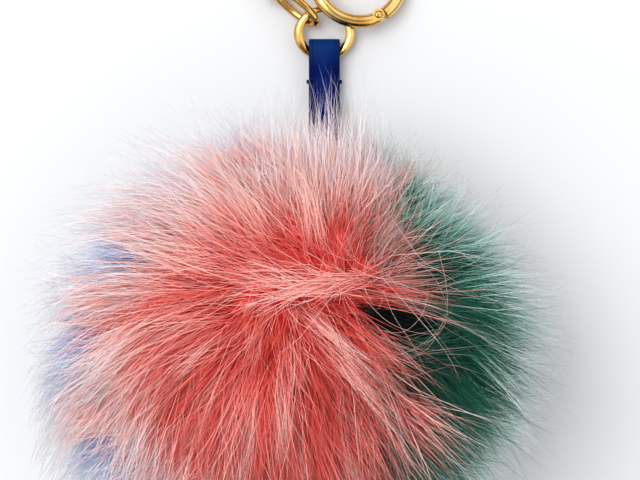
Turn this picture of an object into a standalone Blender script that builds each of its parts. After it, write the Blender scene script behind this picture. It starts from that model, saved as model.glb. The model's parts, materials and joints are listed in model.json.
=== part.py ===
# Fur pom-pom bag charm: a ball of three dyed fur panels, a folded leather strap, a small
# ring, a three-link chain and a spring-gate ring, lying on a flat surface.
# Metres. X is to the right, Y runs from the ball to the rings and Z is up. The origin is the
# middle of the flat spot that the ball rests on.
import math

import bmesh
import bpy
from mathutils import Matrix, Vector

MM = 0.001
GAP = 0.3 * MM  # between neighbouring pieces

# Ball of fur
FUR_RADIUS = 48 * MM  # the dense fur that the locks stand on
FUR_HEIGHT = 46 * MM  # middle of the ball, a little low, so that it has a flat spot
LUMP = 0.03  # unevenness of the dense fur, as a share of its radius
WHORL = Vector((0.30, 0.36, 0.88)).normalized()  # the fur is combed away from here
LOCK_COUNT = 400  # places for locks on the whole ball, of which some stay bare
LOCK_RADIUS = 3.7 * MM
LOCK_RISE = 20 * MM  # how far a lock's tip stands off the dense fur
LOCK_LAY = 11 * MM  # how far the comb moves its tip
LOCK_ROOT = 4 * MM  # depth of its root in the dense fur
SEAM_MARGIN = 4.4 * MM  # bare strip beside a seam
LOWEST_LOCK = -0.62  # the combed locks end here, as a share of the ball's half height
FLOOR_LOCKS = 20  # short locks that lie level on the surface
FLOOR_LOCK_ROOT = (26 * MM, 9 * MM)  # from the ball's foot, and above the surface
FLOOR_LOCK_BELLY = 37 * MM
FLOOR_LOCK_WAIST = 44 * MM
FLOOR_LOCK_REACH = 51 * MM
FLOOR_LOCK_RADIUS = 2.6 * MM

# Panels, cut like an orange's segments round the Y axis. Angles run from +Z towards +X.
PANELS = (
    # name, first seam (deg), last seam (deg), colour
    ("fur_coral", -100, 28, (0.75, 0.13, 0.12)),
    ("fur_green", 28, 150, (0.01, 0.13, 0.09)),
    ("fur_blue", 150, 260, (0.10, 0.14, 0.42)),
)

# Strap
STRAP_WIDTH = 9 * MM
STRAP_THICK = 1.2 * MM
STRAP_X = 6.2 * MM
STRAP_DIP = math.radians(17.5)  # it leaves the ball this far below the ball's middle
STRAP_SEAT = 9 * MM  # depth of its ends in the ball
TACK_Y = 74.8 * MM  # where thread closes the loop
TACK_HEIGHT = 2.6 * MM
FOLD_Y = 87.3 * MM
FOLD_BEND = 2.3 * MM
STRAP_PULL = 17 * MM  # how far the strap keeps its direction at each end of its curve
# The loop's layers between the thread and the fold, as y and z in mm
LOOP_BELOW = ((77.6, 1.0), (80.2, 0.65))
LOOP_ABOVE = ((81.8, 5.15), (79.2, 4.75), (77.0, 3.95))
TACK_THREAD = 0.35 * MM  # radius
TACK_BITE = 2.2 * MM  # from the strap's edge to the stitch hole

# Small ring, an oval whose wire is thicker at its sides
SMALL_RING_AT = Vector((6.3 * MM, 88.9 * MM, 3.54 * MM))
SMALL_RING_TILT = (math.radians(6.45), math.radians(3.4))  # its far and left sides lie higher
SMALL_RING_OUTER = (9.05 * MM, 8.0 * MM)  # half width, half length
SMALL_RING_WIRE = (1.5 * MM, 0.9 * MM)  # radius at the sides, radius at the ends

# Chain of like oval links
LINK_LENGTH = 18 * MM
LINK_WIDTH = 9.8 * MM
LINK_WIRE = 1.15 * MM  # radius
LINK_SQUARENESS = 0.85  # under 1 the oval's sides are flatter than an ellipse's
LINKS = (
    # name, middle (mm), heading, pitch, roll (deg)
    ("chain_link_a", (-2.45, 97.0, 4.61), 140.0, 3.2, -65.6),
    ("chain_link_b", (-5.0, 105.26, 3.84), 39.9, -10.8, -10.6),
    ("chain_link_c", (3.08, 108.92, 5.58), 39.8, 28.7, 35.2),
)

# Spring-gate ring, leaning on the small ring
RING_AT = Vector((16.0 * MM, 104.9 * MM, 0))
RING_RADIUS = 13 * MM
RING_WIRE = 2.0 * MM  # radius
RING_LEAN = math.radians(13.5)
RING_DOWNHILL = Vector((0.77, 0.635, 0)).normalized()  # towards its lowest point
GATE_HINGE = math.radians(-63.4)
GATE_SPLIT = math.radians(-53.2)
GATE_TIP = math.radians(22)
GATE_WIRE = 1.95 * MM
TIP_GAP = 0.45 * MM
PIN_ORBIT = 12.48 * MM  # from the ring's middle to the pin
PIN_RADIUS = 0.85 * MM
PIN_LENGTH = 3.9 * MM
KNUCKLE_RADIUS = 1.85 * MM
KNUCKLE_HEIGHT = 3.4 * MM
SLOT_RADIUS = 2.35 * MM
SLOT_HEIGHT = 1.8 * MM
TONGUE_RADIUS = 1.75 * MM
TONGUE_HEIGHT = 1.2 * MM
TONGUE_ROOT = math.radians(-45)  # where the tongue ends inside the gate's wire
CUT_DEPTH = 8 * MM  # cuts through the ring reach past its wire
CUT_INSIDE = 9 * MM
CUT_OUTSIDE = 18 * MM
CUT_CORNER = Vector((20 * MM, -13 * MM, 0))

ball_middle = Vector((0, 0, FUR_HEIGHT))
strap_out = Vector((0, math.cos(STRAP_DIP), -math.sin(STRAP_DIP)))
strap_mouth = Vector((STRAP_X, 0, FUR_HEIGHT)) + strap_out * FUR_RADIUS * 0.985


def start_scene():
    for thing in list(bpy.data.objects):
        bpy.data.objects.remove(thing, do_unlink=True)
    for name in ("pom_pom_charm", "cutters"):
        collection = bpy.data.collections.new(name)
        bpy.context.scene.collection.children.link(collection)


def make_material(name, colour, roughness, metallic=0.0):
    material = bpy.data.materials.new(name)
    material.use_nodes = True
    shader = material.node_tree.nodes["Principled BSDF"]
    shader.inputs["Base Color"].default_value = (*colour, 1)
    shader.inputs["Roughness"].default_value = roughness
    shader.inputs["Metallic"].default_value = metallic
    return material


def add_object(name, data, collection="pom_pom_charm", material=None):
    thing = bpy.data.objects.new(name, data)
    bpy.data.collections[collection].objects.link(thing)
    if material:
        data.materials.append(material)
    return thing


def mesh_from(bm, name):
    bmesh.ops.recalc_face_normals(bm, faces=bm.faces[:])
    mesh = bpy.data.meshes.new(name)
    bm.to_mesh(mesh)
    bm.free()
    return mesh


def add_cutter(name, mesh):
    cutter = add_object(name, mesh, "cutters")
    cutter.hide_render = True
    cutter.display_type = "WIRE"
    return cutter


def combine(target, cutter, operation):
    boolean = target.modifiers.new(operation.lower() + "_" + cutter.name, "BOOLEAN")
    boolean.operation = operation
    boolean.solver = "EXACT"
    boolean.object = cutter


def smooth_step(low, high, value):
    share = min(max((value - low) / (high - low), 0), 1)
    return share * share * (3 - 2 * share)


def fraction(index, step):
    # Evenly spread numbers from 0 to 1, one for each index
    return (index * step) % 1


# Fur


def seam_direction(degrees):
    angle = math.radians(degrees)
    return Vector((math.cos(angle), 0, -math.sin(angle)))


def dense_ball():
    bm = bmesh.new()
    bmesh.ops.create_icosphere(bm, subdivisions=4, radius=1)
    for vert in bm.verts:
        out = vert.co.normalized()
        waves = (9 * out.x + 4 * out.y, 8 * out.y - 5 * out.z, 7 * out.z + 6 * out.x)
        lump = LUMP * sum(math.sin(wave) for wave in waves) / len(waves)
        vert.co = ball_middle + out * FUR_RADIUS * (1 + lump)
        vert.co.z = max(vert.co.z, 0)
    return bm


def cut_away(bm, normal):
    # Removes what lies on the normal's side of a plane beside the ball's middle line
    everything = bm.verts[:] + bm.edges[:] + bm.faces[:]
    cut = bmesh.ops.bisect_plane(
        bm,
        geom=everything,
        plane_co=ball_middle - normal * GAP / 2,
        plane_no=normal,
        clear_outer=True,
    )
    rim = [item for item in cut["geom_cut"] if isinstance(item, bmesh.types.BMEdge)]
    bmesh.ops.holes_fill(bm, edges=rim)


def panel_of(point):
    # The panel that a point in the ball belongs to, or None beside a seam
    for name, first, last, colour in PANELS:
        past_first = seam_direction(first).dot(point - ball_middle)
        before_last = -seam_direction(last).dot(point - ball_middle)
        if min(past_first, before_last) > SEAM_MARGIN:
            return name
    return None


def combed_lock(index, out):
    # Middle line and radii of a lock that grows outwards and is combed away from the whorl
    away = out * out.dot(WHORL) - WHORL
    flow = away.normalized()
    combed = smooth_step(0.05, 0.6, away.length) * (1 - 0.65 * smooth_step(0.1, -0.5, out.z))
    size = 0.78 + 0.4 * fraction(index, 0.7549)
    turn = flow.cross(out) * (fraction(index, 0.5698) - 0.5) * 4 * MM
    spine = []
    for share in (0, 0.36, 0.7, 1):
        rise = FUR_RADIUS - LOCK_ROOT + (LOCK_ROOT + LOCK_RISE * size) * share
        sweep = flow * LOCK_LAY * combed * size + turn
        spine.append(ball_middle + out * rise + sweep * share**1.6)
    radii = [LOCK_RADIUS * part for part in (0.95, 1.05, 0.7)]
    side = flow.cross(out)
    return spine, radii, side


def floor_lock(index):
    # Middle line and radii of a short lock that leaves the ball near its foot and lies level
    angle = 2 * math.pi * (index + 0.5) / FLOOR_LOCKS
    outward = Vector((math.cos(angle), math.sin(angle), 0))
    reach = FLOOR_LOCK_REACH * (0.93 + 0.07 * fraction(index, 0.7549))
    radii = [FLOOR_LOCK_RADIUS * part for part in (1.0, 0.9, 0.6)]
    root, height = FLOOR_LOCK_ROOT
    spine = [
        outward * root + Vector((0, 0, height)),
        outward * FLOOR_LOCK_BELLY + Vector((0, 0, radii[1] / 2)),
        outward * FLOOR_LOCK_WAIST + Vector((0, 0, radii[2] / 2)),
        outward * reach,
    ]
    side = outward.cross(Vector((0, 0, 1)))
    return spine, radii, side


def loft_lock(bm, spine, radii, side):
    # Three-sided lock with a point at its end. One side faces the ball or the surface.
    rings = []
    for step, radius in enumerate(radii):
        along = (spine[step + 1] - spine[max(step - 1, 0)]).normalized()
        if spine[step].z < radius:
            along = Vector((along.x, along.y, 0)).normalized()
        ridge = side.cross(along).normalized()
        if step and spine[step].z < radius:
            ridge = Vector((0, 0, 1))
        corners = (ridge, side * 0.87 - ridge * 0.5, -side * 0.87 - ridge * 0.5)
        rings.append([bm.verts.new(spine[step] + corner * radius) for corner in corners])
    tip = bm.verts.new(spine[-1])
    bm.faces.new(rings[0])
    for ring, following in zip(rings, rings[1:]):
        for here in range(3):
            beside = (here + 1) % 3
            bm.faces.new((ring[here], ring[beside], following[beside], following[here]))
    for here in range(3):
        bm.faces.new((rings[-1][here], rings[-1][(here + 1) % 3], tip))


def clear_of_strap(spine, route):
    # True if a lock keeps off the strap and off its seat
    reach = STRAP_WIDTH / 2 + LOCK_RADIUS + 1.5 * MM
    for point in spine[1:]:
        for place in route:
            across = abs(point.x - place.x)
            apart = math.hypot(point.y - place.y, point.z - place.z)
            if across < reach and apart < LOCK_RADIUS + 2.5 * MM:
                return False
    return True


def lock_table(route):
    # Every lock as (panel, spine, radii, side)
    locks = []
    turn = WHORL.to_track_quat("Z", "Y")
    golden = math.pi * (3 - math.sqrt(5))
    for index in range(LOCK_COUNT):
        height = 1 - (2 * index + 1) / LOCK_COUNT
        across = math.sqrt(1 - height * height)
        angle = golden * index
        out = turn @ Vector((across * math.cos(angle), across * math.sin(angle), height))
        panel = panel_of(ball_middle + out * FUR_RADIUS)
        if panel and out.z > LOWEST_LOCK:
            locks.append((panel, *combed_lock(index, out)))
    for index in range(FLOOR_LOCKS):
        spine, radii, side = floor_lock(index)
        panel = panel_of(spine[0])
        if panel and panel == panel_of(spine[1]):
            locks.append((panel, spine, radii, side))
    return [lock for lock in locks if clear_of_strap(lock[1], route)]


def seat_cutter():
    bm = bmesh.new()
    bmesh.ops.create_cube(bm, size=1)
    depth = STRAP_SEAT + GAP
    outside = 6 * MM
    size = Vector((STRAP_WIDTH + 2 * GAP, depth + outside, 2 * STRAP_THICK + 3 * GAP))
    bmesh.ops.scale(bm, vec=size, verts=bm.verts)
    bmesh.ops.rotate(bm, matrix=Matrix.Rotation(-STRAP_DIP, 3, "X"), verts=bm.verts)
    bmesh.ops.translate(bm, vec=strap_mouth + strap_out * (outside - depth) / 2, verts=bm.verts)
    return add_cutter("strap_seat", mesh_from(bm, "strap_seat"))


def build_fur(route):
    seat = seat_cutter()
    locks = lock_table(route)
    for name, first, last, colour in PANELS:
        bm = dense_ball()
        cut_away(bm, -seam_direction(first))
        cut_away(bm, seam_direction(last))
        panel = add_object(name, mesh_from(bm, name), material=make_material(name, colour, 0.9))
        panel_locks = bmesh.new()
        for owner, spine, radii, side in locks:
            if owner == name:
                loft_lock(panel_locks, spine, radii, side)
        cutter = add_cutter(name + "_locks", mesh_from(panel_locks, name + "_locks"))
        combine(panel, seat, "DIFFERENCE")
        combine(panel, cutter, "UNION")


# Strap


def strap_middle():
    # Middle line between the strap's two layers, from the ball to the thread
    points = []
    start = strap_mouth + strap_out * 1 * MM
    end = Vector((STRAP_X, TACK_Y, TACK_HEIGHT))
    first = start + strap_out * STRAP_PULL * 0.6
    second = end - Vector((0, STRAP_PULL, -0.8 * MM))
    for step in range(11):
        t = step / 10
        s = 1 - t
        point = start * s**3 + first * 3 * s * s * t + second * 3 * s * t * t + end * t**3
        points.append(point)
    seat_end = strap_mouth - strap_out * STRAP_SEAT
    return [seat_end, *points]


def strap_strip(route):
    # The whole strip: lower layer out of the ball, round the fold and back on top
    half = (STRAP_THICK + GAP) / 2
    lower = []
    upper = []
    for step, point in enumerate(route):
        along = (route[min(step + 1, len(route) - 1)] - route[max(step - 1, 0)]).normalized()
        if step < 2:
            along = strap_out
        rise = Vector((1, 0, 0)).cross(along)
        lower.append(point - rise * half)
        upper.append(point + rise * half)
    fold_z = STRAP_THICK / 2 + FOLD_BEND
    fold = Vector((STRAP_X, FOLD_Y - STRAP_THICK / 2 - FOLD_BEND, fold_z))
    loop = [Vector((STRAP_X, y * MM, z * MM)) for y, z in LOOP_BELOW]
    for step in range(9):
        angle = math.radians(-90 + 22.5 * step)
        loop.append(fold + Vector((0, math.cos(angle), math.sin(angle))) * FOLD_BEND)
    loop += [Vector((STRAP_X, y * MM, z * MM)) for y, z in LOOP_ABOVE]
    return lower + loop + upper[::-1]


def build_strap(route):
    bm = bmesh.new()
    across = Vector((STRAP_WIDTH / 2, 0, 0))
    left = [bm.verts.new(point - across) for point in strap_strip(route)]
    right = [bm.verts.new(vert.co + 2 * across) for vert in left]
    for here in range(len(left) - 1):
        bm.faces.new((left[here], left[here + 1], right[here + 1], right[here]))
    leather = make_material("navy_leather", (0.004, 0.012, 0.11), 0.45)
    strap = add_object("strap", mesh_from(bm, "strap"), material=leather)
    solidify = strap.modifiers.new("thickness", "SOLIDIFY")
    solidify.thickness = STRAP_THICK
    solidify.offset = 0
    solidify.use_even_offset = True


def tube(name, points, radius, cyclic, material, radii=None):
    curve = bpy.data.curves.new(name, "CURVE")
    curve.dimensions = "3D"
    curve.bevel_depth = radius
    curve.bevel_resolution = 2
    curve.use_fill_caps = not cyclic
    spline = curve.splines.new("POLY")
    spline.points.add(len(points) - 1)
    for index, point in enumerate(points):
        spline.points[index].co = (*point, 1)
        if radii:
            spline.points[index].radius = radii[index] / radius
    spline.use_cyclic_u = cyclic
    return add_object(name, curve, material=material)


def build_tacks(thread):
    # One thread round each edge of the strap, seated on both faces of the folded strap
    stack = STRAP_THICK + GAP / 2
    rise = stack + 1.5 * GAP + TACK_THREAD
    for name, side in (("strap_tack_left", -1), ("strap_tack_right", 1)):
        edge = STRAP_WIDTH / 2
        turn = edge + 1.5 * GAP + TACK_THREAD - rise * 0.45
        points = [Vector((side * (edge - TACK_BITE), 0, rise))]
        for step in range(9):
            angle = math.radians(90 - 22.5 * step)
            out = turn + rise * 0.45 * abs(math.cos(angle)) ** 0.5
            points.append(Vector((side * out, 0, rise * math.sin(angle))))
        points.append(Vector((side * (edge - TACK_BITE), 0, -rise)))
        tack = tube(name, points, TACK_THREAD, False, thread)
        tack.location = (STRAP_X, TACK_Y, TACK_HEIGHT)


# Metal


def build_small_ring(gold):
    points = []
    radii = []
    steps = 32
    wide, long = SMALL_RING_OUTER
    side_wire, end_wire = SMALL_RING_WIRE
    for step in range(steps):
        angle = 2 * math.pi * step / steps
        wire = end_wire + (side_wire - end_wire) * abs(math.cos(angle)) ** 1.5
        points.append(Vector(((wide - wire) * math.cos(angle), (long - wire) * math.sin(angle), 0)))
        radii.append(wire)
    ring = tube("small_ring", points, side_wire, True, gold, radii)
    ring.location = SMALL_RING_AT
    ring.rotation_euler = (*SMALL_RING_TILT, 0)


def oval_points(length, width, steps):
    points = []
    for step in range(steps):
        angle = 2 * math.pi * step / steps
        across = math.copysign(abs(math.cos(angle)) ** LINK_SQUARENESS, math.cos(angle))
        along = math.copysign(abs(math.sin(angle)) ** LINK_SQUARENESS, math.sin(angle))
        points.append(Vector((length / 2 * across, width / 2 * along, 0)))
    return points


def build_chain(gold):
    points = oval_points(LINK_LENGTH - 2 * LINK_WIRE, LINK_WIDTH - 2 * LINK_WIRE, 28)
    for name, middle, heading, pitch, roll in LINKS:
        link = tube(name, points, LINK_WIRE, True, gold)
        link.location = Vector(middle) * MM
        link.rotation_euler = (math.radians(roll), math.radians(-pitch), math.radians(heading))


def on_ring(angle, radius):
    return Vector((radius * math.cos(angle), radius * math.sin(angle), 0))


def prism(name, outline, height):
    bm = bmesh.new()
    face = bm.faces.new([bm.verts.new(point - Vector((0, 0, height / 2))) for point in outline])
    raised = bmesh.ops.extrude_face_region(bm, geom=[face])
    verts = [item for item in raised["geom"] if isinstance(item, bmesh.types.BMVert)]
    bmesh.ops.translate(bm, vec=(0, 0, height), verts=verts)
    return add_cutter(name, mesh_from(bm, name))


def disc(name, radius, height, at, segments=20):
    bm = bmesh.new()
    bmesh.ops.create_cone(
        bm,
        cap_ends=True,
        segments=segments,
        radius1=radius,
        radius2=radius,
        depth=height,
        matrix=Matrix.Translation(at),
    )
    return add_cutter(name, mesh_from(bm, name))


def wire_ring(name, wire, gold, shift):
    bpy.ops.mesh.primitive_torus_add(
        major_segments=48, minor_segments=10, major_radius=RING_RADIUS, minor_radius=wire
    )
    ring = bpy.context.active_object
    mesh = ring.data
    bpy.data.objects.remove(ring)
    mesh.transform(Matrix.Translation(-shift))
    mesh.shade_smooth()
    return add_object(name, mesh, material=gold)


def gate_region(name, hinge_side, tip_shift, shift):
    # The sector that the gate takes, between a line at the hinge and a cut square to the
    # line from the pin to the gate's tip, so that the tip swings past the ring's end
    pin = on_ring(GATE_HINGE, PIN_ORBIT)
    tip = on_ring(GATE_TIP, RING_RADIUS)
    swing = (tip - pin).normalized()
    along_cut = Vector((swing.y, -swing.x, 0))
    tip = tip + swing * tip_shift
    outline = (
        on_ring(hinge_side, CUT_INSIDE),
        on_ring(hinge_side, CUT_OUTSIDE),
        CUT_CORNER,
        tip + along_cut * CUT_DEPTH,
        tip - along_cut * CUT_DEPTH,
    )
    return prism(name, [point - shift for point in outline], CUT_DEPTH)


def build_spring_ring(gold):
    plane = bpy.data.objects.new("spring_ring_plane", None)
    bpy.data.collections["pom_pom_charm"].objects.link(plane)
    height = RING_WIRE + RING_RADIUS * math.sin(RING_LEAN)
    plane.location = RING_AT + Vector((0, 0, height))
    level = Vector((-RING_DOWNHILL.y, RING_DOWNHILL.x, 0))
    plane.rotation_euler = Matrix.Rotation(RING_LEAN, 3, level).to_euler()

    pin_at = on_ring(GATE_HINGE, PIN_ORBIT)
    still = Vector((0, 0, 0))
    body = wire_ring("spring_ring", RING_WIRE, gold, still)
    cutters = [
        gate_region("body_gate_region", GATE_HINGE, TIP_GAP / 2, still),
        disc("knuckle", KNUCKLE_RADIUS, KNUCKLE_HEIGHT, pin_at),
        disc("fork_slot", SLOT_RADIUS, SLOT_HEIGHT, pin_at),
        disc("body_pin_hole", PIN_RADIUS + GAP, CUT_DEPTH, pin_at),
    ]
    for cutter, operation in zip(cutters, ("DIFFERENCE", "UNION", "DIFFERENCE", "DIFFERENCE")):
        combine(body, cutter, operation)

    gate = wire_ring("ring_gate", GATE_WIRE, gold, pin_at)
    gate.location = pin_at
    root = on_ring(TONGUE_ROOT, RING_RADIUS) - pin_at
    beside = Vector((-root.y, root.x, 0)).normalized() * TONGUE_RADIUS
    taper = beside * 0.7
    tongue = [root * 0.85 + taper, *rounded_end(beside), root * 0.85 - taper]
    gate_cutters = [
        gate_region("gate_region", GATE_SPLIT, -TIP_GAP / 2, pin_at),
        prism("gate_tongue", tongue, TONGUE_HEIGHT),
        disc("gate_pin_hole", PIN_RADIUS + GAP, CUT_DEPTH, still),
    ]
    for cutter, operation in zip(gate_cutters, ("INTERSECT", "UNION", "DIFFERENCE")):
        combine(gate, cutter, operation)
        cutter.parent = gate

    bm = bmesh.new()
    bmesh.ops.create_cone(
        bm, cap_ends=True, segments=16, radius1=PIN_RADIUS, radius2=PIN_RADIUS, depth=PIN_LENGTH
    )
    pin = add_object("hinge_pin", mesh_from(bm, "hinge_pin"), material=gold)
    pin.location = pin_at
    for thing in (body, gate, pin, *cutters):
        thing.parent = plane


def rounded_end(beside):
    # Half circle round the pin, from one side of the tongue to the other
    turns = [Matrix.Rotation(math.radians(angle), 3, "Z") for angle in range(0, 181, 18)]
    return [turn @ beside for turn in turns]


def main():
    start_scene()
    gold = make_material("gold", (0.90, 0.62, 0.24), 0.2, 1.0)
    thread = make_material("navy_thread", (0.006, 0.014, 0.09), 0.7)
    route = strap_middle()
    build_fur(route)
    build_strap(route)
    build_tacks(thread)
    build_small_ring(gold)
    build_chain(gold)
    build_spring_ring(gold)


main()
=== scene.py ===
# Looks of the fur pom-pom bag charm: three dyed fur panels, a navy strap and gold rings,
# lying on a white surface and seen from straight above.
import json
import math

import bpy
import numpy as np
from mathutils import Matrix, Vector

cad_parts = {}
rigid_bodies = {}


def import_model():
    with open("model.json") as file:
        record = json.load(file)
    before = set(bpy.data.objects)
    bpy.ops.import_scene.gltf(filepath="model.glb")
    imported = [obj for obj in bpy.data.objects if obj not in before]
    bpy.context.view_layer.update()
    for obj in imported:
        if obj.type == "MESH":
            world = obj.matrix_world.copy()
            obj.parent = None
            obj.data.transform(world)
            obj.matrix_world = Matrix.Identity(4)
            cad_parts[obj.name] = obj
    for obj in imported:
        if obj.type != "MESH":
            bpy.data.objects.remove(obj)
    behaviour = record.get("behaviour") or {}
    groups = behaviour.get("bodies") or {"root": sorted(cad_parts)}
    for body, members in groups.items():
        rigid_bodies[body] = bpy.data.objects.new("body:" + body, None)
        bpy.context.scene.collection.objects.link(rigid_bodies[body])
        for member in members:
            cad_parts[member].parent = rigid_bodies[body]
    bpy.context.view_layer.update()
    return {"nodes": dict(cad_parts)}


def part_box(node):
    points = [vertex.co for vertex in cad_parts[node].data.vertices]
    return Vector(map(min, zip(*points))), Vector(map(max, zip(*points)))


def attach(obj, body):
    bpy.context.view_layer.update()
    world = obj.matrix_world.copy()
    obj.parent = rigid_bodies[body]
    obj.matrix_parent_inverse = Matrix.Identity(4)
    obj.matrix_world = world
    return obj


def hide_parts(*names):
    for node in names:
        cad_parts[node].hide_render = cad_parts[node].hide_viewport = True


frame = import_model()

mm = 0.001
bpy.ops.object.select_all(action="DESELECT")


class Shade:
    # A node's output, with Python's operators for shader maths
    def __init__(self, paint, socket):
        self.paint = paint
        self.socket = socket

    def maths(self, operation, first, second):
        return self.paint.node("Math", {"operation": operation}, {0: first, 1: second})

    def __add__(self, other):
        return self.maths("ADD", self, other)

    def __sub__(self, other):
        return self.maths("SUBTRACT", self, other)

    def __rsub__(self, other):
        return self.maths("SUBTRACT", other, self)

    def __mul__(self, other):
        return self.maths("MULTIPLY", self, other)

    __radd__ = __add__
    __rmul__ = __mul__


class Nodes:
    # A node tree whose nodes are added by one method
    def __init__(self, tree):
        self.tree = tree

    def feed(self, socket, value):
        if isinstance(value, Shade):
            self.tree.links.new(value.socket, socket)
        else:
            socket.default_value = value

    def node(self, kind, settings, sockets, output=0):
        made = self.tree.nodes.new("ShaderNode" + kind)
        for key, value in settings.items():
            if key == "stops":
                self.rampStops(made.color_ramp, value)
            else:
                setattr(made, key, value)
        for key, value in sockets.items():
            self.feed(made.inputs[key], value)
        return Shade(self, made.outputs[output])

    def rampStops(self, ramp, stops):
        while len(ramp.elements) < len(stops):
            ramp.elements.new(1)
        for element, (place, colour) in zip(ramp.elements, stops):
            element.position = place
            element.color = (*colour, 1)

    def ramp(self, factor, *stops):
        return self.node("ValToRGB", {"stops": stops}, {0: factor})

    def mix(self, share, first, second):
        # A Mix node's colours are its sockets 6 and 7, and the mixed one is its output 2
        return self.node("Mix", {"data_type": "RGBA"}, {0: share, 6: first, 7: second}, 2)

    def fade(self, value, start, end):
        # Rises from 0 at start to 1 at end
        return self.node("MapRange", {}, {0: value, 1: start, 2: end})

    def absolute(self, value):
        return self.node("Math", {"operation": "ABSOLUTE"}, {0: value})

    def place(self):
        return self.node("TexCoord", {}, {}, 3)  # Object coordinates

    def axis(self, place, number):
        # X, Y or Z of a place, for 0, 1 or 2
        return self.node("SeparateXYZ", {}, {0: place}, number)

    def noise(self, place, scale, detail):
        return self.node("TexNoise", {}, {"Vector": place, "Scale": scale, "Detail": detail})

    def bump(self, strength, distance, height):
        return self.node("Bump", {}, {"Strength": strength, "Distance": distance, "Height": height})


class Paint(Nodes):
    # A material and its shader
    def __init__(self, name, colour, roughness, metallic=0.0):
        self.material = bpy.data.materials.new(name)
        self.material.use_nodes = True
        super().__init__(self.material.node_tree)
        self.shader = self.tree.nodes["Principled BSDF"]
        self.set("Base Color", (*colour, 1))
        self.set("Roughness", roughness)
        self.set("Metallic", metallic)

    def set(self, socket, value):
        self.feed(self.shader.inputs[socket], value)


ball = {
    "middle": Vector((0, 0, 46 * mm)),
    "hide": 49 * mm,  # radius of the hide that the fur grows from
    "locks": 2600,
    "clusters": 190,  # locks that lean together
    "seed": 11,
    "shaken": 0.5,  # how far locks stray from even places, as a share of their spacing
    "floor": 0.25 * mm,  # the lowest that fur comes to the surface
    "splay": 0.8,  # how far fur that meets the surface spreads over it
    "pieceLimit": 190000,  # triangles in one piece of fur
    "judged": 0.65,  # how far along a strand its place decides on its look
}

comb = {
    # how the fur lies, as shares of the ball's radius
    "upperSource": Vector((0.255, 0.305, 0.917)),  # above the parting it is combed away from here
    "lowerSource": Vector((-0.09, 0.375, 0.922)),  # and below it from here
    "parting": (0.345, 0.02),  # along Y, and half its width
    "least": 0.35,  # combing at a source
    "full": 0.3,  # distance from there where it is fully combed
    "hanging": (0.2, -0.6),  # from this height down to this one
    "hangs": 0.6,  # this share of the combing is lost
}

bulge = {
    # the left side stands out of round, most of all low in the picture
    "most": 6.5 * mm,
    "rises": (-12 * mm, -48 * mm),  # it grows from here to here along X
    "falls": (-61 * mm, -79 * mm),  # and shrinks again here, where only long tips reach
    "tips": 0.98,  # by this share
    "along": (42 * mm, 8 * mm),  # it grows from here to here along Y
    "least": 0.3,  # from this share
    "above": (16 * mm, 44 * mm),  # and from this height to this one
    "sideEnd": 77 * mm,  # beyond this, tips at either side are drawn in
    "drawnIn": 0.6,  # by this share
}

furKinds = ("soft", "guard", "long")

furTraits = {
    # of each kind's strands
    "perLock": (28, 15, 4.2),
    "stations": ((0, 1), (0, 0.55, 1), (0, 0.35, 0.7, 1)),  # corners, as shares of the length
    "rise": (8.5 * mm, 16 * mm, 19 * mm),  # how far tips stand off the hide
    "lay": (16 * mm, 21 * mm, 25 * mm),  # and how far they are combed over it
    "radius": (0.19 * mm, 0.105 * mm, 0.095 * mm),
    "taper": (0.6, 0.45, 0.4),
    "lengths": ((0.6, 1.15), (0.4, 1.2), (0.6, 1.2)),
    "turn": (0.12, 0.20, 0.24),  # how far they stray from their lock's way
    "bend": (0.0, 1.7 * mm, 2.4 * mm),
    "fan": (0.9 * mm, 1.7 * mm, 1.8 * mm),
    "paleness": (0.22, 0.46, 0.82),  # their place between deep, 0, and pale, 1
    "varied": (0.07, 0.20, 0.12),  # and how far that strays
    "tufted": (0.0, 0.6, 1.0),  # how far they keep to the thicker tufts
    "topReach": (0.62, 0.82, 0.95),  # share of their length that is left near the strap
}

panels = {
    # from and to: seams as angles about the Y axis, from straight up towards +X
    "coral": {"node": "fur_coral", "from": -84, "to": 28},
    "green": {"node": "fur_green", "from": 28, "to": 150},
    "blue": {"node": "fur_blue", "from": 150, "to": 276},
}

seams = {
    "wave": (2.5, 9),  # the seams swing by this many degrees, and this fast along Y
    # the seam of coral and green wanders by so many degrees, from here to here along Y
    "coralEdge": ((3, 0.25, 0.6), (38, 0.6, 0.92), (-10, 0.25, 0.03), (8, 0.02, -0.3)),
}

blueTufts = (
    # along Y as a share of the ball's radius, half width, and how many degrees the seam rises
    (0.46, 0.09, 34),
    (0.02, 0.13, 37),
    (-0.54, 0.18, 33),
)

partings = (
    # where the upper fur parts: middle, half length, half width (mm), way (degrees), and the
    # share of strands that leave it bare
    ((25.9, 7), 8, 3.1, -9, 0.985),  # the dark gap between coral and green
    ((-51, 24), 7.5, 2.2, 176, 0.75),  # blue shows in these three
    ((-55, 2.5), 10, 3.2, 186, 0.75),
    ((-51, -30), 10, 4, 214, 0.75),
)
gap = Vector((25.5 * mm, 7.0 * mm, 88 * mm))

rims = {
    # how strands meet the partings, in the parting's own sizes
    "pushed": (0.05, 0.85),  # least and most that one is pushed out of the dark gap
    "nearest": 0.05,
    "fade": (2.6, 1.2),  # from where to where pushing grows
    "upper": 60 * mm,  # height of the upper fur, which partings and streaks change
    "stops": (1.07, 0.23),  # where strands stop at a rim, and how far that strays
    "stopAbove": 30 * mm,
    "looks": 7,  # places that are looked at between two corners
}

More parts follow.
